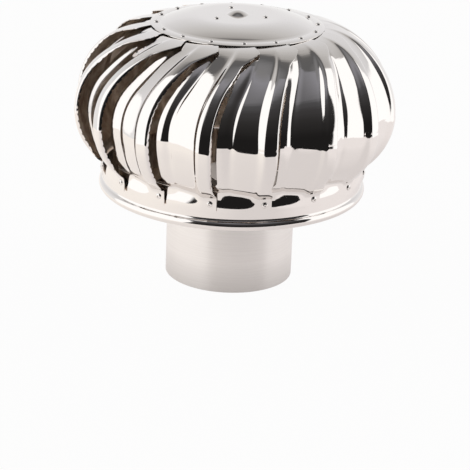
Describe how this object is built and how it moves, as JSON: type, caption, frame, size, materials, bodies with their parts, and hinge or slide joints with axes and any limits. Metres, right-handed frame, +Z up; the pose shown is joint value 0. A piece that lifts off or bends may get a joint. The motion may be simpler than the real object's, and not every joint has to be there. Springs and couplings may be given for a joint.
{
  "type": "turbine roof vent",
  "caption": "Wind-driven turbine roof vent of polished stainless steel: overlapping curved blades between a domed top plate and a rolled base ring, turning on a plain round duct neck.",
  "frame": {"origin": "centre of the neck's lower end, on the turning axis", "axes": "+Z up along the turning axis, -Y towards the front of the picture"},
  "size_m": [0.2488, 0.2488, 0.2122],
  "materials": {
    "polished_stainless": "mirror polished",
    "brushed_stainless": "satin",
    "zinc_plated_steel": "plated",
    "bearing_steel": "ground",
    "turned_aluminium": "turned"
  },
  "bodies": {
    "base": {"neck_tube": "brushed_stainless", "bearing_spider": "zinc_plated_steel", "spindle": "zinc_plated_steel", "lower_washer": "zinc_plated_steel", "lower_nut": "zinc_plated_steel", "upper_washer": "zinc_plated_steel", "upper_nut": "zinc_plated_steel", "lower_spacer": "zinc_plated_steel", "middle_spacer": "zinc_plated_steel", "lock_washer": "zinc_plated_steel", "lock_nut": "zinc_plated_steel", "lower_bearing_inner_ring": "bearing_steel", "upper_bearing_inner_ring": "bearing_steel"},
    "rotor": {"blade_01": "polished_stainless", "blade_02": "polished_stainless", "blade_03": "polished_stainless", "blade_04": "polished_stainless", "blade_05": "polished_stainless", "blade_06": "polished_stainless", "blade_07": "polished_stainless", "blade_08": "polished_stainless", "blade_09": "polished_stainless", "blade_10": "polished_stainless", "blade_11": "polished_stainless", "blade_12": "polished_stainless", "blade_13": "polished_stainless", "blade_14": "polished_stainless", "blade_15": "polished_stainless", "blade_16": "polished_stainless", "top_plate": "polished_stainless", "base_ring": "polished_stainless", "bearing_hub": "turned_aluminium", "circlip": "bearing_steel", "lower_bearing_outer_ring": "bearing_steel", "upper_bearing_outer_ring": "bearing_steel"}
  },
  "joints": [
    {"name": "rotor_spin", "type": "hinge", "parent": "base", "child": "rotor", "pos_m": [0, 0, 0.15], "axis": [0, 0, 1], "continuous": true}
  ]
}
